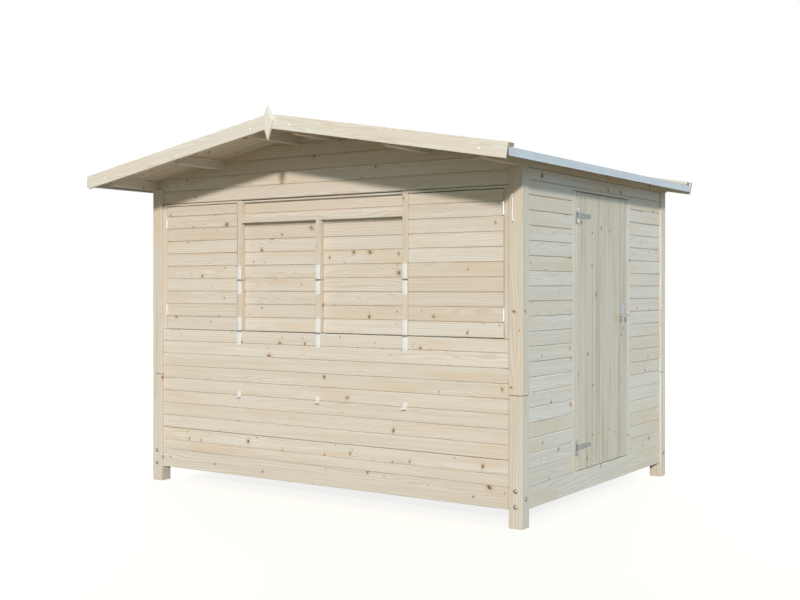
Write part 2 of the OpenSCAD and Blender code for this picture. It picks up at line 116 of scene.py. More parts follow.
# Rings of points joined into closed skins: ring i to ring i + 1 by quads, the first and last ring filled.
# points is (pieces, rings, points of a ring, 3) and uv has one more point per ring, for the seam.
def skin(points, uv, capUv, tone, flip):
    count, rings, ring = points.shape[:3]
    index = np.arange(count * rings * ring).reshape(count, rings, ring)
    after = np.roll(index, -1, 2)
    quads = np.stack([index[:, :-1], after[:, :-1], after[:, 1:], index[:, 1:]], -1)
    quadUv = np.stack([uv[:, :-1, :-1], uv[:, :-1, 1:], uv[:, 1:, 1:], uv[:, 1:, :-1]], -2)
    caps = np.stack([index[:, 0, ::-1], index[:, -1]], 1)
    capUv = np.stack([capUv[:, ::-1], capUv], 1)
    flip = np.broadcast_to(np.asarray(flip, bool), count)
    for values, axis in ((quads, -1), (quadUv, -2), (caps, -1), (capUv, -2)):
        values[flip] = np.flip(values[flip], axis)
    return {"points": points.reshape(-1, 3), "tone": np.repeat(tone, rings * ring),
            "quads": quads.reshape(-1, 4), "quadUv": quadUv.reshape(-1, 4, 2),
            "caps": caps.reshape(-1, ring), "capUv": capUv.reshape(-1, ring, 2)}


# Lengths of timber: place = origin + along * s + across * a + inward * d, where (a, d) runs round the
# section and s from start to end. Each end may slant with a, the face may slant too, and a slow
# wave bows each length inward by up to bow. A section given as one number is square, with that arris.
def planks(origin, along, across, inward, width, thick, start, end, section, stations=6, endCut=.0015,
           bow=0, startSlant=0, endSlant=0, faceSlant=(0, 0), shift=0, tone=None):
    origin = np.atleast_2d(np.asarray(origin, float))
    count = max(len(origin), *(np.size(v) for v in (width, thick, start, end)))
    origin, along, across, inward = fill((count, 3), origin, along, across, inward)
    width, thick, start, end, shift = (v[:, None] for v in fill(count, width, thick, start, end, shift))
    startSlant, endSlant = (v[:, None, None] for v in fill(count, startSlant, endSlant))
    section = squareSection(section) if np.isscalar(section) else section
    a = section[:, 0] * width + section[:, 1]
    d = section[:, 2] * thick + section[:, 3]
    t = join([[0], np.linspace(0, 1, stations), [1]])
    ends = (np.arange(len(t)) % (len(t) - 1) == 0)[None, :, None]
    step = np.zeros(len(t))
    step[1], step[-2] = endCut, -endCut
    aAll = np.where(ends, np.clip(a, endCut, width - endCut)[:, None], a[:, None])
    dAll = np.where(ends, np.clip(d, endCut, thick - endCut)[:, None], d[:, None])
    s = (start[:, :, None] + startSlant * aAll) * (1 - t[:, None])
    s = s + (end[:, :, None] + endSlant * aAll) * t[:, None] + step[:, None]
    swing, turns, phase = (rng.uniform(least, most, (count, 1)) for least, most in ((-1, 1), (.8, 2), (0, 6)))
    wave = bow * swing * np.sin(np.pi * t * turns + phase)
    sunk = faceSlant[0] + faceSlant[1] * aAll
    dWorld = dAll + (1 - dAll / thick[:, :, None]) * sunk + (wave + shift)[:, :, None]
    points = (origin[:, None, None] + along[:, None, None] * s[..., None]
              + across[:, None, None] * aAll[..., None] + inward[:, None, None] * dWorld[..., None])
    edge = np.hypot(np.roll(a, -1, 1) - a, np.roll(d, -1, 1) - d)
    girth = join([np.zeros((count, 1)), np.cumsum(edge, 1)], 1)
    offset = rng.uniform(0, 30, (count, 2))
    sSeam = join([s, s[:, :, :1]], 2)
    uv = at(sSeam + offset[:, :1, None], (girth + offset[:, 1:])[:, None])
    capUv = at(a + offset[:, :1], d + offset[:, 1:])
    turn = np.einsum("ij,ij->i", np.cross(along, across), inward) < 0
    tone = rng.uniform(0, 1, count) if tone is None else np.broadcast_to(tone, count)
    return skin(points, uv, capUv, tone, turn)


# A turned shape: a circle of the given radius at each height along an axis, both ends filled.
def turned(origin, axis, heights, radii, sides=16):
    origin = np.atleast_2d(np.asarray(origin, float))
    count = len(origin)
    axis, = fill((count, 3), axis)
    side = unit(np.cross(axis, np.where(np.abs(axis[:, 2:]) > .7, ex, ez)))
    other = np.cross(axis, side)
    angle = np.arange(sides) / sides * 2 * np.pi
    circle = side[:, None] * np.cos(angle)[:, None] + other[:, None] * np.sin(angle)[:, None]
    heights, radii = np.asarray(heights, float), np.asarray(radii, float)
    points = (origin[:, None, None] + axis[:, None, None] * heights[:, None, None]
              + circle[:, None] * radii[:, None, None])
    turnUv = np.append(angle, 2 * np.pi) * radii.max()
    uv = np.broadcast_to(at(turnUv[None], heights[:, None]), (count, len(heights), sides + 1, 2))
    capUv = np.broadcast_to(at(np.cos(angle), np.sin(angle)) * radii.max(), (count, sides, 2))
    return skin(points, uv, capUv, np.zeros(count), False)


# An outline moved in by a distance, each corner along the bisector of its two edges.
def inset(outline, amount):
    ahead = unit(np.roll(outline, -1, 0) - outline)
    normal = at(-ahead[:, 1], ahead[:, 0])
    both = normal + np.roll(normal, 1, 0)
    return outline + both * (2 * amount / (both * both).sum(1))[:, None]


# A flat outline (counter-clockwise in a, b) carried through its thickness from the face inward, with a
# bevel round the face and a smaller one round the back.
def plates(origin, a, b, inward, outline, thick, bevel, backBevel=.0003):
    origin = np.atleast_2d(np.asarray(origin, float))
    count = len(origin)
    a, b, inward = fill((count, 3), a, b, inward)
    outline = np.asarray(outline, float)
    eased = bevel * .3  # the bevel is bent once, which rounds it
    moves = (bevel, eased, 0, 0, backBevel)
    rings = np.stack([inset(outline, amount) if amount else outline for amount in moves])
    depth = np.array([0, eased, bevel, thick - backBevel, thick])
    points = (origin[:, None, None] + a[:, None, None] * rings[None, ..., :1]
              + b[:, None, None] * rings[None, ..., 1:] + inward[:, None, None] * depth[None, :, None, None])
    edge = np.linalg.norm(np.roll(outline, -1, 0) - outline, axis=1)
    girth = np.append(0, np.cumsum(edge))
    uv = np.broadcast_to(at(girth[None], depth[:, None]), (count, len(depth), len(girth), 2))
    capUv = np.broadcast_to(outline, (count,) + outline.shape)
    turn = np.einsum("ij,ij->i", np.cross(a, b), inward) < 0
    return skin(points, uv, capUv, rng.uniform(0, 1, count), turn)


# An oval carried along a path: at each place of the path the two half-widths lie along the path's own
# side, held square to the given normal, and along that normal. A power under 1 squares the oval.
def tube(path, halfWidths, normal, sides=14, power=1):
    path, normal = np.asarray(path, float), np.asarray(normal, float)
    halfWidths, = fill((len(path), 2), halfWidths)
    ahead = unit(np.gradient(path, axis=0))
    side = unit(np.cross(normal, ahead))
    up = np.cross(ahead, side)
    angle = np.arange(sides) / sides * 2 * np.pi
    c, n = (np.sign(v) * np.abs(v) ** power for v in (np.cos(angle), np.sin(angle)))
    points = (path[:, None] + side[:, None] * (halfWidths[:, :1] * c)[..., None]
              + up[:, None] * (halfWidths[:, 1:] * n)[..., None])[None]
    run = np.append(0, np.cumsum(np.linalg.norm(np.diff(path, axis=0), axis=1)))
    uv = at(np.linspace(0, .05, sides + 1)[None], run[:, None])[None]
    capUv = at(c, n)[None] * halfWidths.max()
    return skin(points, uv, capUv, np.zeros(1), False)


def addObject(name, data):
    made = bpy.data.objects.new(name, data)
    bpy.context.scene.collection.objects.link(made)
    return made


# Joins parts into one mesh object. A filled ring is a sawn end, in the last material, except on the
# smooth pieces, where it has the material of its part.
def makePiece(name, node, parts, materials, smoothAngle=None, body="shed"):
    base = np.cumsum([0] + [len(p["points"]) for p in parts])
    faces, uv, kind = [], [], []
    for p, shiftBy in zip(parts, base):
        faces += (p["quads"] + shiftBy).tolist() + (p["caps"] + shiftBy).tolist()
        uv += [p["quadUv"].reshape(-1, 2), p["capUv"].reshape(-1, 2)]
        skinOf = p.get("skinOf", 0)
        kind += [skinOf] * len(p["quads"])
        kind += [skinOf if smoothAngle else len(materials) - 1] * len(p["caps"])
    mesh = bpy.data.meshes.new(name)
    mesh.from_pydata(join([p["points"] for p in parts]).tolist(), [], faces)
    mesh.uv_layers.new(name="grain").data.foreach_set("uv", join(uv).astype(np.float32).ravel())
    tones = join([p["tone"] for p in parts]).astype(np.float32)
    mesh.attributes.new("tone", "FLOAT", "POINT").data.foreach_set("value", tones)
    for material in materials:
        mesh.materials.append(material)
    mesh.polygons.foreach_set("material_index", np.array(kind, np.int32))
    if smoothAngle:
        mesh.shade_smooth()
        mesh.set_sharp_from_angle(angle=math.radians(smoothAngle))
    mesh.update()
    piece = addObject(name, mesh)
    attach(piece, body)
    if node:
        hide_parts(node)


# Materials: nodes go into the tree in hand, and each input is given a plain value or a link.
def setInputs(node, inputs):
    for key, value in inputs.items():
        if isinstance(value, bpy.types.NodeSocket):
            tree.links.new(value, node.inputs[key])
        else:
            node.inputs[key].default_value = value


def addNode(kind, inputs=None, **settings):
    node = tree.nodes.new("ShaderNode" + kind)
    for key, value in settings.items():
        setattr(node, key, value)
    setInputs(node, inputs or {})
    return node


def calc(operation, first, second=0.0, third=0.0):
    return addNode("Math", {0: first, 1: second, 2: third}, operation=operation).outputs[0]


def times(first, second):
    return calc("MULTIPLY", first, second)


def timesPlus(first, second, third):
    return calc("MULTIPLY_ADD", first, second, third)


# A new chance out of an old one: the fraction left of it times a factor.
def scatter(value, factor):
    return calc("FRACT", times(value, factor))


def blend(share, first, second):
    return addNode("Mix", {0: share, 6: first, 7: second}, data_type="RGBA").outputs[2]


def ramp(share, stops):
    node = addNode("ValToRGB", {0: share})
    for i, (place, colour) in enumerate(stops):
        stop = node.color_ramp.elements[i] if i < 2 else node.color_ramp.elements.new(place)
        stop.position, stop.color = place, colour
    return node.outputs[0]


def spread(value, low, high, toLow, toHigh):
    inputs = {0: value, 1: low, 2: high, 3: toLow, 4: toHigh}
    return addNode("MapRange", inputs, interpolation_type="SMOOTHSTEP").outputs[0]


def bump(strength, distance, height):
    return addNode("Bump", {"Strength": strength, "Distance": distance, "Height": height}).outputs[0]


def addNoise(place, scale, detail):
    return addNode("TexNoise", {"Vector": place, "Scale": scale, "Detail": detail}).outputs[0]


# A new material, whose tree is then the one in hand, and its shader.
def newMaterial(name):
    global tree
    material = bpy.data.materials.new(name)
    material.use_nodes = True
    tree = material.node_tree
    return material, tree.nodes["Principled BSDF"]


# Spruce: growth lines along the grain that part round the knots, a tone for each length, fine fibre and
# knots scattered by a cell pattern; u runs along the length and v round it, both in metres.
def spruce(name, look):
    material, shader = newMaterial(name)
    place = addNode("UVMap", uv_map="grain").outputs[0]
    u, v = addNode("SeparateXYZ", {0: place}).outputs[:2]
    tone = addNode("Attribute", attribute_name="tone").outputs["Fac"]

    def noise(alongScale, acrossScale, detail, rough=.55):
        scaled = {0: times(u, alongScale), 1: times(v, acrossScale), 2: times(tone, 9)}
        inputs = {"Vector": addNode("CombineXYZ", scaled).outputs[0],
                  "Scale": 1, "Detail": detail, "Roughness": rough}
        return addNode("TexNoise", inputs).outputs[0]

    # a cell has a knot where its chance passes a limit, which is lower on a knotty board
    cell = addNode("TexVoronoi", {"Vector": place, "Scale": look["knotsPerMetre"]}, voronoi_dimensions="2D")
    chance, sizeChance, hueChance = addNode("SeparateColor", {0: cell.outputs["Color"]}).outputs
    knotty = calc("POWER", scatter(tone, 13.7), 1.6)
    present = calc("GREATER_THAN", chance, timesPlus(knotty, -look["knotShare"], .97))
    knotSize = timesPlus(calc("POWER", sizeChance, 2.2), look["knotSpread"], look["knotLeast"])
    # the distance from its middle is stretched and leaning by chance, and uneven at the rim
    wobble = timesPlus(noise(110, 150, 3), 1.1, .45)
    away = addNode("VectorMath", {0: place, 1: cell.outputs["Position"]}, operation="SUBTRACT")
    ahead, aside = addNode("SeparateXYZ", {0: away.outputs[0]}).outputs[:2]
    awayU = times(ahead, calc("ADD", scatter(sizeChance, 17.3), .65))
    awayV = timesPlus(ahead, calc("ADD", scatter(hueChance, 11.9), -.5), aside)
    apart = calc("SQRT", timesPlus(awayU, awayU, times(awayV, awayV)))
    reach = times(calc("DIVIDE", apart, knotSize), wobble)
    core = times(spread(reach, .75, 1.1, 1, 0), present)
    halo = times(spread(reach, .8, 3.2, 1, 0), present)
    # growth lines are a wave across the board, pushed about by noise and by the knots
    figured = timesPlus(scatter(tone, 5.3), look["swirl"], 2)
    lines = timesPlus(v, look["linesPerMetre"], times(noise(1.1, 9, 2), figured))
    lines = timesPlus(halo, 1.6, lines)
    fullTurn = 6.283
    growth = timesPlus(calc("SINE", times(lines, fullTurn)), .5, .5)
    growth = calc("POWER", growth, 2.2)
    fibre = noise(5, 420, 3, .65)
    streak = noise(.9, look["streakScale"], 4)
    stain = noise(1.3, 6, 3)
    board = ramp(tone, look["boardStops"])
    colour = blend(times(growth, look["growthShare"]), board, look["lateWood"])
    colour = blend(spread(streak, .42, .68, 0, look["streakShare"]), colour, look["streak"])
    colour = blend(spread(stain, .50, .66, 0, look["stainShare"]), colour, look["stain"])
    fibreShare = times(spread(fibre, .35, .7, 0, 1), look["fibreShare"])
    colour = blend(fibreShare, colour, look["lateWood"])
    colour = blend(times(halo, look["haloShare"]), colour, look["halo"])
    knot = blend(hueChance, look["knot"], look["redKnot"])
    knot = blend(spread(reach, .3, .9, 0, .55), knot, look["bark"])
    colour = blend(times(core, look["coreShare"]), colour, knot)
    height = calc("ADD", times(growth, .6), times(fibre, .7))
    height = calc("SUBTRACT", height, times(core, .8))
    setInputs(shader, {"Base Color": colour, "Roughness": timesPlus(growth, -.1, look["rough"]),
                       "Specular IOR Level": look["sheen"], "Normal": bump(.35, .0006, height)})
    return material


# Sawn ends: arcs of growth rings about a point away from the section, with pores.
def endGrain(name, pale, dark):
    material, shader = newMaterial(name)
    place = addNode("TexCoord").outputs["Object"]
    rings = addNode("TexWave", {"Vector": place, "Scale": 42, "Distortion": 3.5, "Detail": 2},
                    wave_type="RINGS")
    share = timesPlus(rings.outputs[1], .6, times(addNoise(place, 26, 3), .3))
    setInputs(shader, {"Base Color": blend(share, pale, dark), "Roughness": .82,
                       "Normal": bump(.3, .0005, addNoise(place, 900, 1))})
    return material


# Metal with a grain or crystals: two tones mixed by noise, and a roughness that follows it.
def sheetMetal(name, look):
    material, shader = newMaterial(name)
    place = addNode("TexCoord").outputs["Object"]
    place = addNode("Mapping", {"Vector": place, "Scale": look.get("stretch", (1, 1, 1))}).outputs[0]
    coarse = addNode("TexVoronoi", {"Vector": place, "Scale": look["crystals"]}).outputs["Color"]
    grey = addNode("SeparateColor", {0: coarse}).outputs[0]
    fine = addNoise(place, look["fine"], 4)
    share = timesPlus(grey, .5, times(fine, .5))
    setInputs(shader, {"Base Color": blend(share, look["pale"], look["dark"]), "Metallic": look["metal"],
                       "Roughness": timesPlus(fine, .22, look["rough"]), "Normal": bump(.15, .0003, fine)})
    return material


# Roofing felt: crushed mineral over bitumen, pale and dark grains with bare dark specks.
def mineralFelt(name, pale, dark):
    material, shader = newMaterial(name)
    place = addNode("TexCoord").outputs["Object"]
    grain = addNode("TexVoronoi", {"Vector": place, "Scale": 420})
    shade = addNode("SeparateColor", {0: grain.outputs["Color"]}).outputs[0]
    share = timesPlus(shade, .7, times(addNoise(place, 5, 4), .3))
    setInputs(shader, {"Base Color": blend(share, pale, dark), "Roughness": .93,
                       "Normal": bump(.6, .0012, grain.outputs["Distance"])})
    return material


boardLook = {
    "boardStops": [(0, (.775, .75, .71, 1)), (.25, (.715, .675, .62, 1)), (.5, (.78, .75, .705, 1)),
                   (.75, (.72, .675, .61, 1)), (1, (.715, .64, .55, 1))],
    "lateWood": (.54, .42, .30, 1), "growthShare": .42, "linesPerMetre": 75, "swirl": 14, "fibreShare": .10,
    "streak": (.62, .53, .42, 1), "streakShare": .42, "streakScale": 34,
    "stain": (.69, .555, .41, 1), "stainShare": .50, "halo": (.50, .34, .19, 1), "haloShare": .45,
    "knot": (.19, .11, .06, 1), "redKnot": (.42, .23, .11, 1), "bark": (.09, .05, .03, 1), "coreShare": .9,
    "knotsPerMetre": 9, "knotShare": .66, "knotLeast": .0030, "knotSpread": .0105, "rough": .66, "sheen": .28}
framingLook = dict(boardLook, linesPerMetre=50, growthShare=.50, swirl=6, knotShare=.25, streakScale=24,
                   streakShare=.55, streak=(.62, .55, .46, 1), lateWood=(.53, .43, .315, 1))
doorLook = dict(boardLook, growthShare=.34, knotShare=.40, linesPerMetre=30, swirl=3, streakScale=22,
                streakShare=.8, streak=(.50, .42, .34, 1), stainShare=.2, lateWood=(.46, .37, .28, 1),
                boardStops=[(0, (.62, .61, .535, 1)), (.3, (.67, .605, .51, 1)), (.5, (.60, .578, .50, 1)),
                            (.75, (.68, .61, .515, 1)), (1, (.60, .55, .455, 1))])
trimLook = dict(boardLook, growthShare=.34, knotShare=.30, streakShare=.25, stainShare=.25,
                boardStops=[(0, (.82, .80, .765, 1)), (1, (.765, .735, .69, 1))])
boardWood = spruce("boardWood", boardLook)
trimWood = spruce("trimWood", trimLook)
framingWood = spruce("framingWood", framingLook)
doorWood = spruce("doorWood", doorLook)
sawnEnd = endGrain("sawnEnd", (.44, .35, .23, 1), (.31, .22, .13, 1))
# A near-black end grain for the shutter boards' ends: painted shade in the gaps round the shutters.
gapShadeEnd = endGrain("gapShadeEnd", (.20, .125, .065, 1), (.12, .07, .035, 1))
felt = mineralFelt("felt", (.20, .205, .205, 1), (.055, .057, .058, 1))
metals = {
    "dripMetal": {"crystals": 25, "fine": 12, "rough": .45, "metal": .3,
                  "pale": (.56, .59, .62, 1), "dark": (.50, .53, .56, 1)},
    "zincSteel": {"crystals": 300, "fine": 160, "rough": .30, "metal": .6,
                  "pale": (.86, .87, .87, 1), "dark": (.70, .71, .70, 1)},
    "hingeSteel": {"crystals": 220, "fine": 90, "rough": .34, "metal": .85,
                   "pale": (.44, .436, .43, 1), "dark": (.13, .128, .126, 1)},
    "satinMetal": {"stretch": (1, 6, 1), "crystals": 260, "fine": 120, "rough": .24, "metal": .9,
                   "pale": (.56, .545, .53, 1), "dark": (.29, .28, .27, 1)}}
dripMetal, zincSteel, hingeSteel, satinMetal = [sheetMetal(name, look) for name, look in metals.items()]
# Near-black grain for the keyhole: painted shade where the inside of the hole would be.
keyholeShade = mineralFelt("keyholeShade", (.03, .03, .03, 1), (.012, .012, .012, 1))
boardMats, framingMats, doorMats = [boardWood, sawnEnd], [framingWood, sawnEnd], [doorWood, sawnEnd]
# The shutter boards end in the near-black end grain, which paints the shade in the gaps round them.
trimMats, shutterMats = [trimWood, sawnEnd], [boardWood, gapShadeEnd]
print("materials made")

# Timbers with square sections: each solid of the node becomes a length along the given axis, with the
# given arris. An upper post starts a little above the lower one, which leaves an open joint.
timberNodes = {
    "lower_posts": (2, .004), "upper_posts": (2, .004), "long_beams": (0, .003), "short_beams": (1, .003),
    "floor_joists": (1, .002), "wall_battens": (2, .002), "hatch_frame": (2, .002), "hatch_head": (0, .0015),
    "counter_rail": (0, .0025), "counter_arms": (2, .0025), "counter_stiles": (2, .0025),
    "door_jambs": (2, .003), "door_lintel": (1, .002), "door_ledges": (1, .006)}
timber = {"postJoint": .003, "mostEndCut": .002, "bow": .0004}
postJoint, mostEndCut, timberBow = timber.values()
for node, (axis, arris) in timberNodes.items():
    low, high = solidBoxes(node)
    size = (high - low).T
    a, b = [i for i in range(3) if i != axis]
    part = planks(low, np.eye(3)[axis], np.eye(3)[a], np.eye(3)[b], size[a], size[b],
                  postJoint if node == "upper_posts" else 0, size[axis], arris,
                  endCut=min(arris, mostEndCut), bow=timberBow)
    makePiece(node + "Timber", node, [part], framingMats,
              body="door" if node == "door_ledges" else "shed")
print("square timbers made")

# Horizontal cladding: joints repeat by the cover, and the first and last board of a wall are ripped to fit.
wall = {"cover": .090, "frontJoint": .392, "sideJoint": .3383, "rowsBesideDoor": 19, "leastFoot": .015,
        "leastHead": .025, "bow": .0006, "uneven": (-.0003, .0004), "calmTones": (.36, .68)}
cover, frontJoint, sideJoint, rowsBesideDoor, leastFoot, leastHead, wallBow, uneven, calmTones = wall.values()
vBoard = tonguedSection(bevel=.0042, deep=.0056, tongue=.008, gap=.0026)
topBoard = tonguedSection(bevel=.0042, deep=.0056, tongue=-.0012, gap=.0012)
facing = {"front": (ex, ey, frontJoint), "rear": (ex, -ey, frontJoint),
          "left": (ey, ex, sideJoint), "right": (ey, -ex, sideJoint)}
cladding = {
    "front_skirt": "front", "front_wall": "front", "left_shutter": "front", "right_shutter": "front",
    "centre_panel": "front", "rear_wall": "rear", "left_wall": "left", "right_wall_front": "right",
    "right_wall_rear": "right", "right_wall_head": "right"}
dropBy, liftBy = {"left_shutter": .002}, {"front_skirt": .0018}  # these narrow a seam
throughRow = sideJoint + rowsBesideDoor * cover  # the top board runs on over the door
sideEnds = nodeBox("right_wall_front")[0][1], nodeBox("right_wall_rear")[1][1]
for node, side in cladding.items():
    low, high = nodeBox(node)
    low[2] -= dropBy.get(node, 0)
    high[2] += liftBy.get(node, 0)
    along, inward, joint = facing[side]
    seams = np.arange(joint - 30 * cover, high[2], cover)
    seams = seams[(seams > low[2] + leastFoot) & (seams < high[2] - leastHead)]
    seams = join([[low[2]], seams, [high[2]]])
    if node in ("right_wall_front", "right_wall_rear"):
        seams = seams[seams < throughRow + .001]
    rows = len(seams) - 1
    origin = np.repeat([np.where(inward < 0, high, low)], rows, 0)
    origin[:, 2] = seams[:-1]
    origin -= along * (origin @ along)[:, None] - along * (low @ along)
    run = np.full(rows, abs((high - low) @ along))
    if node == "right_wall_head":
        origin[-1, 1] = sideEnds[0]
        run[-1] = sideEnds[1] - sideEnds[0]
    tones = rng.uniform(*(calmTones if node in ("front_wall", "front_skirt") else (0, 1)), rows)
    parts = []
    for pick, section in ((slice(0, -1), vBoard), (slice(-1, None), topBoard)):
        if len(origin[pick]):
            shift = rng.uniform(*uneven, len(origin[pick]))
            parts.append(planks(origin[pick], along, ez, inward, np.diff(seams)[pick],
                                abs((high - low) @ inward), 0, run[pick], section, stations=7, bow=wallBow,
                                tone=tones[pick], shift=shift))
    makePiece(node + "Boards", node, parts, shutterMats if "shutter" in node else boardMats)
print("wall boards made")

# Gables: rows of boards whose ends follow the slope of the roof, and are plumb where they reach the posts.
gable = {"leastRow": .02, "tipCut": .006, "plumbWithin": .06}
leastRow, tipCut, plumbWithin = gable.values()
roof = {"pitch": math.radians(10), "boardThick": .018, "boards": 31, "eaveCut": .0036, "bow": .0003}
pitch, roofThick, roofRows, eaveCut, roofBow = roof.values()
cosPitch, sinPitch, rise = math.cos(pitch), math.sin(pitch), math.tan(pitch)
roofLow, roofHigh = nodeBox("roof_right")
eaveUnder, roofHalf = roofLow[2], roofHigh[0]
for node, inward in (("front_gable", ey), ("rear_gable", -ey)):
    low, high = nodeBox(node)
    seams = np.append(np.arange(low[2], high[2] - leastRow, cover), high[2] - tipCut)
    reach = np.minimum(roofHalf - (seams - eaveUnder) / rise, high[0])
    plumb = reach[1:] > high[0] - plumbWithin
    underPurlin = seams[1:] < nodeBox("upper_posts")[1][2] + .001
    endAt = np.where(plumb, np.where(underPurlin, nodeBox("front_wall")[1][0], high[0]), reach[:-1])
    slant = np.where(plumb, 0, np.diff(reach) / np.diff(seams))
    origin = at(0, low[1] if inward[1] > 0 else high[1], seams[:-1])
    part = planks(origin, ex, ez, inward, np.diff(seams), high[1] - low[1], -endAt, endAt, vBoard,
                  stations=9, bow=wallBow, startSlant=-slant, endSlant=slant)
    makePiece(node + "Boards", node, [part], boardMats)


# The directions down the roof and square to it, on the side that a name gives.
def slopeOf(name):
    x = -1 if "left" in name else 1
    return np.array([x * cosPitch, 0, -sinPitch]), np.array([x * sinPitch, 0, cosPitch])


# Rows of equal boards side by side along y: their cover and the places where they start.
def rowsAlongY(x, lowY, highY, z, rows):
    cover = (highY - lowY) / rows
    return cover, at(x, lowY + cover * np.arange(rows), z)


# Roof boards run down the slope; the bevelled face is the one seen from below.
section = tonguedSection(bevel=.0070, deep=.0066, tongue=.009, gap=.0052)
for node in ("roof_right", "roof_left"):
    down, up = slopeOf(node)
    cover, origin = rowsAlongY(0, roofLow[1], roofHigh[1], eaveUnder + roofHalf * rise, roofRows)
    part = planks(origin, down, ey, up, cover, roofThick, 0, (roofHalf - eaveCut) / cosPitch, section,
                  bow=roofBow)
    makePiece(node + "Boards", node, [part], boardMats)

# Purlins have a flat foot and a top that slopes with the roof; both ends are cut back towards the foot,
# so that they stay in the shade of the barge boards.
purlin = {"cutBack": .040, "arris": .002, "endZone": .01}
cutBack, arris, endZone = purlin.values()
for node in ("ridge_purlins", "mid_purlins", "eave_purlins"):
    parts = []
    for lo, hi in zip(*solidBoxes(node)):
        wide, run, tall = hi - lo
        part = planks([lo[0], lo[1], hi[2]], ey, ex, -ez, wide, tall, 0, run, arris,
                      faceSlant=(0, rise) if lo[0] > 0 else (wide * rise, -rise))
        y, depth = part["points"][:, 1], (hi[2] - part["points"][:, 2]) / tall
        y += cutBack * depth * np.where(y < lo[1] + endZone, 1, np.where(y > hi[1] - endZone, -1, 0))
        parts.append(part)
    makePiece(node + "Timber", node, parts, [framingWood])

# Barge boards and the laths over the felt: lengths down the slope, plumb at the ridge.
barge = {"height": .090, "arris": .0025, "ridgeGap": .0006, "screwDrop": .62}
bargeTall, arris, ridgeGap, screwDrop = barge.values()
for node in ("right_barges", "left_barges"):
    down, up = slopeOf(node)
    parts = []
    for lo, hi in zip(*solidBoxes(node)):
        reach = max(abs(lo[0]), abs(hi[0])) - bargeTall * sinPitch
        foot = [0, lo[1], hi[2] - bargeTall / cosPitch]
        parts.append(planks(foot, down, up, ey, bargeTall, hi[1] - lo[1], ridgeGap, reach / cosPitch,
                            arris, stations=8, startSlant=-rise))
    makePiece(node + "Timber", node, parts, trimMats)
cap = {"thick": .0232, "arris": .003, "ridgeGap": .002, "eaveCut": .001}
thick, arris, ridgeGap, capCut = cap.values()
for node in ("right_caps", "left_caps"):
    down, up = slopeOf(node)
    parts = [planks([0, lo[1], hi[2]], down, ey, -up, hi[1] - lo[1], thick, ridgeGap,
                    (roofHalf - capCut) / cosPitch, arris) for lo, hi in zip(*solidBoxes(node))]
    makePiece(node + "Timber", node, parts, trimMats)
print("roof timbers made")

# Finial: a lozenge with its shoulder above the middle and a bevel round the face.
finial = {"shoulder": .095, "bevel": .006, "backBevel": .001}
shoulder, bevel, backBevel = finial.values()
low, high = nodeBox("finial")
lozenge = [(0, low[2]), (high[0], high[2] - shoulder), (0, high[2]), (low[0], high[2] - shoulder)]
part = plates([0, low[1], 0], ex, ez, ey, lozenge, high[1] - low[1], bevel, backBevel)
part["tone"][:] = 0
part["capUv"] = part["capUv"][..., ::-1]  # the grain stands upright
makePiece("finialPlate", "finial", [part], [trimWood])

# Floor boards run along the front; the first and last row lie between the posts and are shorter.
floorRows = 23
low, high = nodeBox("floor_deck")
cover, origin = rowsAlongY(0, low[1], high[1], high[2], floorRows)
half = np.full(floorRows, high[0])
half[[0, -1]] = nodeBox("long_beams")[1][0]
part = planks(origin, ex, ey, -ez, cover, high[2] - low[2], -half, half,
              tonguedSection(bevel=.001, deep=.001, tongue=.006, gap=.0006), bow=roofBow)
makePiece("floorBoards", "floor_deck", [part], boardMats)

# Door leaf: upright boards, the last without a tongue; the brace is a plank cut level at both ends.
door = {"boards": 9, "bevel": .0016, "bow": .0005, "braceFoot": .110, "braceArris": .004}
rows, bevel, bow, braceFoot, arris = door.values()
low, high = nodeBox("door_leaf")
cover, origin = rowsAlongY(high[0], low[1], high[1], low[2], rows)
parts = []
for pick, tongue, gap in ((slice(0, -1), .007, .0008), (slice(-1, None), 0, 0)):
    parts.append(planks(origin[pick], ez, ey, -ex, cover, high[0] - low[0], 0, high[2] - low[2],
                        tonguedSection(bevel, bevel, tongue, gap), stations=7, bow=bow))
makePiece("doorBoards", "door_leaf", parts, doorMats, body="door")
low, high = nodeBox("door_brace")
thick, run, tall = high - low
climb = unit(np.array([0, run - braceFoot, tall]))
across = np.array([0, climb[2], -climb[1]])
lean = climb[1] / climb[2]
part = planks([high[0], low[1], low[2]], climb, across, -ex, braceFoot * climb[2], thick, 0,
              tall / climb[2], arris, startSlant=lean, endSlant=lean)
makePiece("doorBrace", "door_brace", [part], framingMats, body="door")
print("door boards made")

# Felt: two courses on each slope, the upper over the lower, and a strip bent over the ridge. A course is
# given by its two distances down the slope and by the layer that it lies in.
feltLook = {"courses": ((.78, 1.70, 0), (.10, .86, 1), (0, .17, 2)), "thick": .0028, "arris": .0008,
            "sunk": .0006, "bedded": .0004, "bow": .0007}
courses, thick, arris, sunk, bedded, bow = feltLook.values()
low, high = nodeBox("roof_felt")
top = np.array([0, low[1], high[2] - sunk])
parts = []
for side in ("right", "left"):
    down, up = slopeOf(side)
    for near, far, layer in courses:
        foot = top + down * near + up * (layer * thick - bedded)
        parts.append(planks(foot, ey, down, -up, min(far, high[0] / cosPitch) - near, thick, 0,
                            high[1] - low[1], arris, stations=24, endCut=.0005, bow=bow))
makePiece("feltCourses", "roof_felt", parts, [felt])

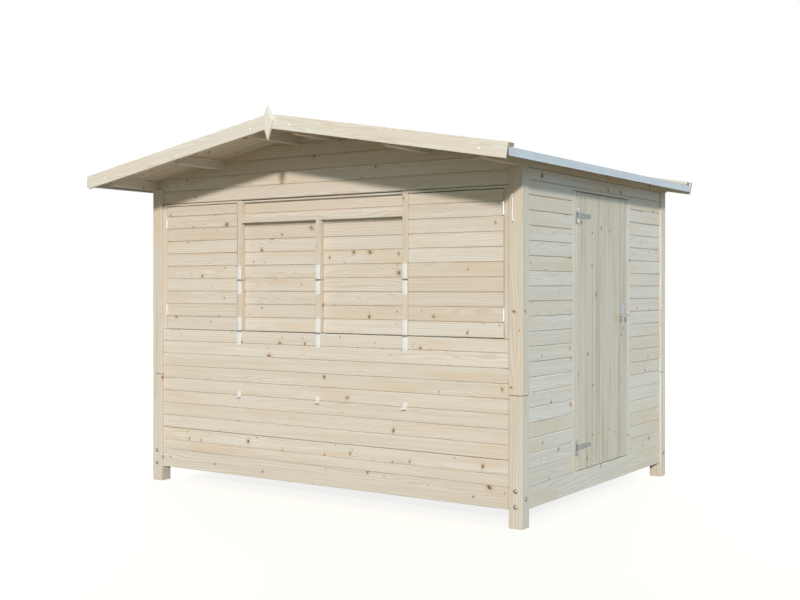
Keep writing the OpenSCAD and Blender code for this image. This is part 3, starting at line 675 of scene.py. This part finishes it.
# Drip edge: sheet bent from a flange on the boards over the eave, with a small kick at its foot.
drip = {"flange": .060, "thick": .0015, "kick": .005, "hem": .004, "bevel": .0002}
flange, thick, kick, hem, bevel = drip.values()
low, high = nodeBox("drip_edges")
outer, foot, top, crest = high[0], low[2], high[2], high[2] - flange * rise
outline = [(outer - flange, top - thick), (outer - thick, crest - thick), (outer - thick, foot + hem),
           (outer - thick + kick, foot), (outer + kick, foot), (outer, foot + hem + .001), (outer, crest),
           (outer - flange, top)]
parts = [plates([0, low[1], 0], side, ez, ey, outline, high[1] - low[1], bevel, bevel)
         for side in (ex, -ex)]
makePiece("dripEdges", "drip_edges", parts, [dripMetal])
print("roof covering made")


# A rectangle with round corners, counter-clockwise about its middle: a quarter circle, turned by a
# quarter turn from corner to corner.
def roundedBox(wide, tall, radius, steps=5):
    turnBy = np.linspace(0, np.pi / 2, steps)
    corner = at(np.cos(turnBy), np.sin(turnBy)) * radius
    quarter = np.array([(0, 1), (-1, 0)])
    x, y = wide / 2 - radius, tall / 2 - radius
    middle = np.array([(x, y), (-x, y), (-x, -y), (x, -y)])
    return join([middle[i] + corner @ np.linalg.matrix_power(quarter, i) for i in range(4)])


# Screw heads: a low dome with a sunk recess, standing on a face.
def screws(places, normal, radius):
    heights = np.array([-.4, .02, .2, .3, .3, .12]) * radius
    return turned(places, normal, heights, np.array([.9, 1, .9, .62, .36, .3]) * radius, 12)


# A hinge barrel: knuckles of equal length with a fine groove at each joint, a pin head at both ends.
def barrel(origin, axis, length, radius, knuckles):
    joints = np.linspace(0, length, knuckles + 1)
    groove = min(.0008, radius * .15)
    heights = at(joints[:-1], joints[:-1] + groove, joints[1:] - groove, joints[1:]).ravel()
    tip, neck = radius * .35, radius * .15
    heights = join([[-tip, -neck], heights, [length + neck, length + tip]])
    radii = radius * np.array([.35, .6] + [.86, 1, 1, .86] * knuckles + [.6, .35])
    return turned(origin, axis, heights, radii, 20)


# Counter hinges: two long leaves with round ends, four screws in each and a barrel between them.
counterHinge = {"thick": .0025, "gap": .0035, "corner": .005, "bevel": .0005, "screw": .0042, "knuckles": 5,
                "screwsAt": ((.22, -.24), (.42, .24), (.64, -.24), (.86, .24))}
thick, gap, corner, bevel, screw, knuckles, screwsAt = counterHinge.values()
low, high = solidBoxes("counter_hinges")
middle = (low + high) / 2
wide, half = high[0, 0] - low[0, 0], (high[0, 2] - low[0, 2]) / 2
outline = roundedBox(wide, half - gap, corner)
face = at(middle[:, 0], high[:, 1] - thick, middle[:, 2])
parts = []
for way in (1, -1):
    parts.append(plates(face + ez * way * (half + gap) / 2, ex, ez, ey, outline, thick, bevel))
    for share, aside in screwsAt:
        parts.append(screws(face + ez * way * half * share + ex * aside * wide, -ey, screw))
radius = (high[0, 1] - low[0, 1]) / 2
part = barrel(at(low[:, 0], low[:, 1] + radius, middle[:, 2]), ex, wide, radius, knuckles)
# the barrel takes the dark steel, which paints the shade line along the joint between the leaves
part["skinOf"] = 1
makePiece("counterHinges", "counter_hinges", parts + [part], [zincSteel, hingeSteel], 35)

# Arm rests: a strip bent down the wall, out and up again, with two screws in its back.
armRest = {"thick": .0025, "bend": .005, "lip": .007, "screw": .0038, "screwDrops": np.array([.010, .020])}
t, r, lip, screw, screwDrops = armRest.values()
bend = np.linspace(0, np.pi / 2, 7)
parts = []
for lo, hi in zip(*solidBoxes("arm_rests")):
    back, front, foot = hi[1] - t / 2, lo[1] + t / 2, lo[2] + t / 2
    path = join([
        [(back, hi[2]), (back, (hi[2] + foot) / 2)],
        at(back - r + r * np.cos(bend), foot + r - r * np.sin(bend)),
        at(front + r - r * np.sin(bend), foot + r - r * np.cos(bend)),
        [(front, foot + lip), (front, lo[2] + (hi[1] - lo[1]) / 2)]])
    path = at((lo[0] + hi[0]) / 2, *path.T)
    parts.append(tube(path, (t / 2, (hi[0] - lo[0]) / 2), ex, sides=24, power=.22))
    screwX = [lo[0] * .7 + hi[0] * .3, lo[0] * .3 + hi[0] * .7]
    parts.append(screws(at(screwX, back - t / 2, hi[2] - screwDrops), -ey, screw))
makePiece("armRests", "arm_rests", parts, [zincSteel], 40)

# Shutter hinges: three knuckles, and the two leaves let into the gap.
shutterHinge = {"knuckles": 3, "leaf": .0012, "apart": .0008, "short": .002, "sunk": .001, "arris": .0002}
knuckles, leaf, apart, short, sunk, arris = shutterHinge.values()
low, high = solidBoxes("shutter_hinges")
radius, tall = (high[0, 0] - low[0, 0]) / 2, high[0, 2] - low[0, 2]
foot = at((low[:, 0] + high[:, 0]) / 2, low[:, 1] + radius, low[:, 2])
parts = [barrel(foot, ez, tall, radius, knuckles)]
for way in (-1, 1):
    parts.append(planks(foot + ex * (way * apart - leaf / 2), ez, ex, ey, leaf,
                        high[:, 1] - foot[:, 1] - sunk, short, tall - short, arris, 2, .0003))
makePiece("shutterHinges", "shutter_hinges", parts, [zincSteel], 35)

# Cabin hook: a screw eye, a rod that hangs from it by a ring and a bent tip in the lower eye.
hook = {"radius": .003, "rod": .85, "eye": .0065, "wire": .002, "curl": .0045}
radius, rod, eye, wire, curl = hook.values()
low, high = nodeBox("cabin_hook")
x, y, postY = (low[0] + high[0]) / 2, low[1] + radius, high[1]
top, foot = high[2] - 2 * radius, low[2] + 2 * radius
around = np.linspace(-.5 * np.pi, 1.42 * np.pi, 26) + np.pi
parts = []
for z in (top, foot):
    parts.append(tube(at(x + eye * np.cos(around), y, z + eye * np.sin(around)), wire, ey, 10))
    parts.append(turned([x, postY, z], -ey, [0, .0008, .0012, postY - y], [.0048] * 2 + [.0022] * 2, 14))
turnBy = np.linspace(0, np.pi, 9)[:-1]
path = join([
    at(x - .0002 + curl * np.cos(turnBy), y - .003, top + curl * np.sin(turnBy)),
    [(x - curl, y - .003, top - .004), (x - .001, y - .002, top - .016), (x, y, top - .03)],
    np.linspace((x, y, top - .05), (x, y, foot + .014), 8),
    [(x, y - .0005, foot + .008), (x, y + .001, foot + .001), (x, y + .005, foot - .001)]])
parts.append(tube(path, radius * rod, ey, 12))
makePiece("cabinHook", "cabin_hook", parts, [zincSteel], 50)
print("hatch fittings made")

# Door hinges: the fixed plate with the outer knuckles and pin, the strap with the knuckle between them.
doorHinge = {"radius": .007, "thick": .003, "bevel": .0006, "corner": .005, "clear": .003, "play": .001,
             "pin": .0034, "wing": .004, "wingArris": .0006, "short": .001, "bed": .0004, "screw": .0042,
             "screwsAt": ((.4, .2), (.14, -.2), (-.14, .2), (-.4, -.2))}
radius, thick, bevel, corner, clear, play, pin, wing, arris, short, bed, screw, screwsAt = doorHinge.values()
low, high = solidBoxes("hinge_plates")
strapLow, strapHigh = solidBoxes("hinge_straps")
axisX, axisY = high[:, 0] - radius, high[:, 1] - radius
jambX, middleZ = low[:, 0], (low[:, 2] + high[:, 2]) / 2
wide, tall = high[0, 1] - radius - low[0, 1] - clear, high[0, 2] - low[0, 2]
half, strapHalf = tall / 2, (strapHigh[0, 2] - strapLow[0, 2]) / 2
face = at(jambX + thick, low[:, 1] + wide / 2, middleZ)
parts = [plates(face, ey, ez, -ex, roundedBox(wide, tall, corner), thick, bevel)]
for up, aside in screwsAt:
    parts.append(screws(face + ez * up * tall + ey * aside * wide, ex, screw))
endTall = half - strapHalf - play
for foot in (-half, strapHalf + play):
    parts.append(barrel(at(axisX, axisY, middleZ + foot), ez, endTall, radius, 1))
    parts.append(planks(at(axisX, axisY - radius * .2, middleZ + foot), ez, -ey, -ex, radius + wing,
                        axisX[0] - jambX[0] - bed, short, endTall - short, arris, 2, .0004))
parts.append(turned(at(axisX, axisY, middleZ), ez, [-half, half], [pin, pin], 16))
makePiece("hingePlates", "hinge_plates", parts, [satinMetal], 35)
strap = {"tip": .013, "waist": .25, "nose": .004, "wing": .012, "proud": .0005, "short": .0008,
         "screw": .0045, "screwsAt": ((.22, .008), (.3, -.008), (.52, .006), (.62, -.006), (.9, 0))}
tip, waist, nose, wing, proud, short, screw, screwsAt = strap.values()
run = strapHigh[0, 1] - axisY[0]
sweep = np.linspace(-np.pi / 2, np.pi / 2, 11)
outline = join([[(nose, -strapHalf), (run * waist, -strapHalf + .001)],
                at(run - tip + tip * np.cos(sweep), tip * np.sin(sweep)),
                [(run * waist, strapHalf - .001), (nose, strapHalf)]])
face = at(jambX + thick, axisY, middleZ)
parts = [plates(face, ey, ez, -ex, outline, thick, bevel)]
for share, aside in screwsAt:
    parts.append(screws(face + ey * share * run + ez * aside, ex, screw))
foot = at(axisX, axisY, middleZ - strapHalf)
parts.append(barrel(foot, ez, 2 * strapHalf, radius, 1))
parts.append(planks(foot + ex * proud, ez, ey, -ex, wing, axisX[0] + proud - jambX[0] - bed,
                    short, 2 * strapHalf - short, arris, 2, .0004))
makePiece("hingeStraps", "hinge_straps", parts, [hingeSteel], 35, body="door")

# Keep on the jamb: a plate with two screws and a raised staple.
keep = {"corner": .004, "bevel": .0006, "screw": .0042, "screwAt": .36, "staple": (.012, .034),
        "stapleRise": .002, "stapleThick": .0022, "stapleBevel": .0009}
corner, bevel, screw, screwAt, staple, stapleRise, stapleThick, stapleBevel = keep.values()
low, high = nodeBox("door_keep")
thick, wide, tall = high - low
face = at(high[0], *(low + high)[1:] / 2)
parts = [plates(face, ey, ez, -ex, roundedBox(wide, tall, corner), thick, bevel),
         screws(face + np.outer([-screwAt, screwAt], ez) * tall, ex, screw),
         plates(face + ex * stapleRise, ey, ez, -ex, roundedBox(*staple, corner), stapleThick,
                stapleBevel)]
makePiece("doorKeep", "door_keep", parts, [dripMetal], 35)

# Handle plates: long plates with round ends, a collar round the spindle, a keyhole and two screws.
handle = {"bevel": .0022, "screw": .0038, "screwAt": .455, "keyDrop": .085, "keyRound": .0042,
          "keySlot": .0026, "keyFoot": .013, "keyRise": .0010, "keyThick": .0008}
bevel, screw, screwAt, keyDrop, keyRound, keySlot, keyFoot, keyRise, keyThick = handle.values()
axisY, axisZ = frame["record"]["behaviour"]["joints"][1]["pos_m"][1:]
sweep = np.linspace(-.33 * np.pi, 1.33 * np.pi, 20)
keyhole = join([keyRound * at(np.cos(sweep), np.sin(sweep)),
                [(-keySlot, -keyFoot), (keySlot, -keyFoot)]])
parts = []
for lo, hi, outward in zip(*solidBoxes("handle_plates"), (-ex, ex)):
    thick, wide, tall = hi - lo
    faceX = hi[0] if outward[0] > 0 else lo[0]
    middle = at(faceX, *(lo + hi)[1:] / 2)
    hub = np.array([faceX, axisY, axisZ])
    key = hub - ez * keyDrop
    outline = roundedBox(wide, tall, wide / 2 - .0002, 13)
    parts.append(plates(middle, ey, ez, -outward, outline, thick, bevel))
    parts.append(turned(hub, outward, [-.001, .0015, .0022, .0022], [.0135, .0135, .0125, .0075], 28))
    # the keyhole is a thin plate in the near-black material: painted shade inside the hole
    parts.append(plates(key + outward * keyRise, ey, ez, -outward, keyhole, keyThick, .0001))
    parts[-1]["skinOf"] = 1
    parts.append(turned(key, outward, [-.0005, .0006, .0006], [.0092, .0088, .0072], 24))
    parts.append(screws(middle + np.outer([-screwAt, screwAt], ez) * tall, outward, screw))
makePiece("handlePlates", "handle_plates", parts, [satinMetal, keyholeShade], 35, body="door")

# Levers: a neck from the plate, a bend and a grip that narrows a little towards its end.
lever = {"grip": .009, "neck": .046, "bend": .012, "spindle": .0058, "flat": .86}
grip, neck, r, spindle, flat = lever.values()
low, high = nodeBox("lever")
tipY = low[1] + grip
turnBy = np.linspace(0, np.pi / 2, 9)
wide = join([np.linspace(.0072, .0085, 12), np.linspace(.0088, .0080, 9), [.0070, .0048, .0018]])
tall = join([np.linspace(.0072, .0088, 12), np.linspace(.0096, .0092, 9), [.0080, .0055, .0020]])
parts = []
for out, endX in ((1, high[0] - grip), (-1, low[0] + grip)):
    startX = endX - out * neck
    path = join([
        [(startX, axisY), (startX + out * .014, axisY), (endX - out * (r + .006), axisY)],
        at(endX - out * r * (1 - np.sin(turnBy)), axisY - r * (1 - np.cos(turnBy))),
        at(endX, np.linspace(axisY - r - .01, tipY, 9)),
        [(endX, tipY - .004), (endX, tipY - .007), (endX, tipY - .0088)]])
    parts.append(tube(at(*path.T, axisZ), at(wide * flat, tall), ez, 18))
    parts.append(turned([startX - out * .004, axisY, axisZ], ex * out, [0, .004, .006, .008],
                        [.0098, .0098, .0090, .0074], 24))
run = high[0] - low[0] - 2 * (grip + neck)
parts.append(turned([low[0] + grip + neck, axisY, axisZ], ex, [0, run], [spindle, spindle], 16))
makePiece("levers", "lever", parts, [satinMetal], 45, body="door_lever")
print("door fittings made")

# Coach bolts through the posts into the base, two in each front and rear face and one in each side.
bolt = {"radius": .0140, "rise": .0075, "collar": .0012, "faceHeights": (.127, .219), "sideHeight": .173}
radius, boltRise, collar, faceHeights, sideHeight = bolt.values()
dome = np.linspace(0, np.pi / 2 * .93, 7)
heights = join([[-.001, collar], collar + boltRise * np.sin(dome)])
radii = join([[radius, radius], radius * np.cos(dome)])
parts = []
for lo, hi in zip(*solidBoxes("lower_posts")):
    middle = (lo + hi) / 2
    way = np.sign(middle)
    face = np.where(way < 0, lo, hi)
    parts.append(turned(at(middle[0], face[1], faceHeights), ey * way[1], heights, radii, 24))
    parts.append(turned([face[0], middle[1], sideHeight], ex * way[0], heights, radii, 24))
makePiece("coachBolts", None, parts, [hingeSteel], 60)

# Screws through the barge boards into the ridge and eave purlins.
purlinX = join([sum(solidBoxes(node))[:, 0] / 2 for node in ("ridge_purlins", "eave_purlins")])
parts = []
for lo, hi, outward in zip(*solidBoxes("right_barges"), (-ey, ey)):
    z = hi[2] - np.abs(purlinX) * rise - bargeTall * screwDrop
    places = at(purlinX, lo[1] if outward[1] < 0 else hi[1], z)
    parts.append(turned(places, outward, [-.001, .0012, .003, .0036], [.0075, .0075, .0050, .001], 16))
makePiece("bargeScrews", None, parts, [zincSteel], 50)
print("bolts and screws made")


# One for rays that show the stage itself, straight or in a shiny or clear face, and nought for its light.
def seenRays():
    rays = addNode("LightPath").outputs
    mirrored = calc("MAXIMUM", rays["Is Glossy Ray"], rays["Is Transmission Ray"])
    return calc("MAXIMUM", rays["Is Camera Ray"], mirrored)


# Studio: a floor that looks pale and keeps the shadow, and a white background with a cool even sky.
stage = {"floorColour": (.20, .165, .10, 1), "floorRough": .9, "floorGlow": .84, "floorHalf": 40,
         "skyColour": (.76, .98, .93, 1), "skyStrength": .46}
white = (1, 1, 1, 1)
floorMesh = bpy.data.meshes.new("floor")
corners = np.array([(-1, -1, 0), (1, -1, 0), (1, 1, 0), (-1, 1, 0)]) * stage["floorHalf"]
floorMesh.from_pydata(corners.tolist(), [], [(0, 1, 2, 3)])
floor = addObject("floor", floorMesh)
floorMaterial, shader = newMaterial("floorPaint")
setInputs(shader, {"Base Color": stage["floorColour"], "Roughness": stage["floorRough"]})
glow = addNode("Emission", {"Color": white, "Strength": times(seenRays(), stage["floorGlow"])})
both = addNode("AddShader", {0: shader.outputs[0], 1: glow.outputs[0]})
tree.links.new(both.outputs[0], tree.nodes["Material Output"].inputs[0])
floorMesh.materials.append(floorMaterial)

world = bpy.data.worlds.new("studio")
bpy.context.scene.world = world
world.use_nodes = True
tree = world.node_tree
sky = tree.nodes["Background"]
setInputs(sky, {0: stage["skyColour"], 1: stage["skyStrength"]})
backdrop = addNode("Background", {0: white, 1: 1.0})
mixed = addNode("MixShader", {0: seenRays(), 1: sky.outputs[0], 2: backdrop.outputs[0]})
tree.links.new(mixed.outputs[0], tree.nodes["World Output"].inputs[0])

# Lights: direction, strength, spread in degrees and colour of a warm key, a wide cool fill and a soft
# light for the far sides.
lamps = {"key": ((.489, -.797, .351), 2.82, 4, (1, .92, .845)),
         "fill": ((.92, .38, .10), 1.15, 80, (.24, .60, 1)),
         "back": ((-.60, .74, .30), 1.9, 50, (1, .94, .86))}
for name, ((x, y, z), energy, angle, colour) in lamps.items():
    lamp = bpy.data.lights.new(name, "SUN")
    lamp.energy, lamp.angle, lamp.color = energy, math.radians(angle), colour
    lampObject = addObject(name, lamp)
    lampObject.rotation_euler = (math.atan2(math.hypot(x, y), z), 0, math.atan2(y, x) + math.pi / 2)

view = {"lens": 50, "sensor": 36, "shiftY": -.01656, "place": (4.5574, -6.6828, 1.4143), "turn": 34.12}
camera = bpy.data.cameras.new("camera")
camera.lens, camera.sensor_width, camera.shift_y = view["lens"], view["sensor"], view["shiftY"]
cameraObject = addObject("camera", camera)
cameraObject.location = view["place"]
cameraObject.rotation_euler = (math.pi / 2, 0, math.radians(view["turn"]))
bpy.context.scene.camera = cameraObject
bpy.context.scene.view_settings.view_transform = "Standard"
print("stage set")
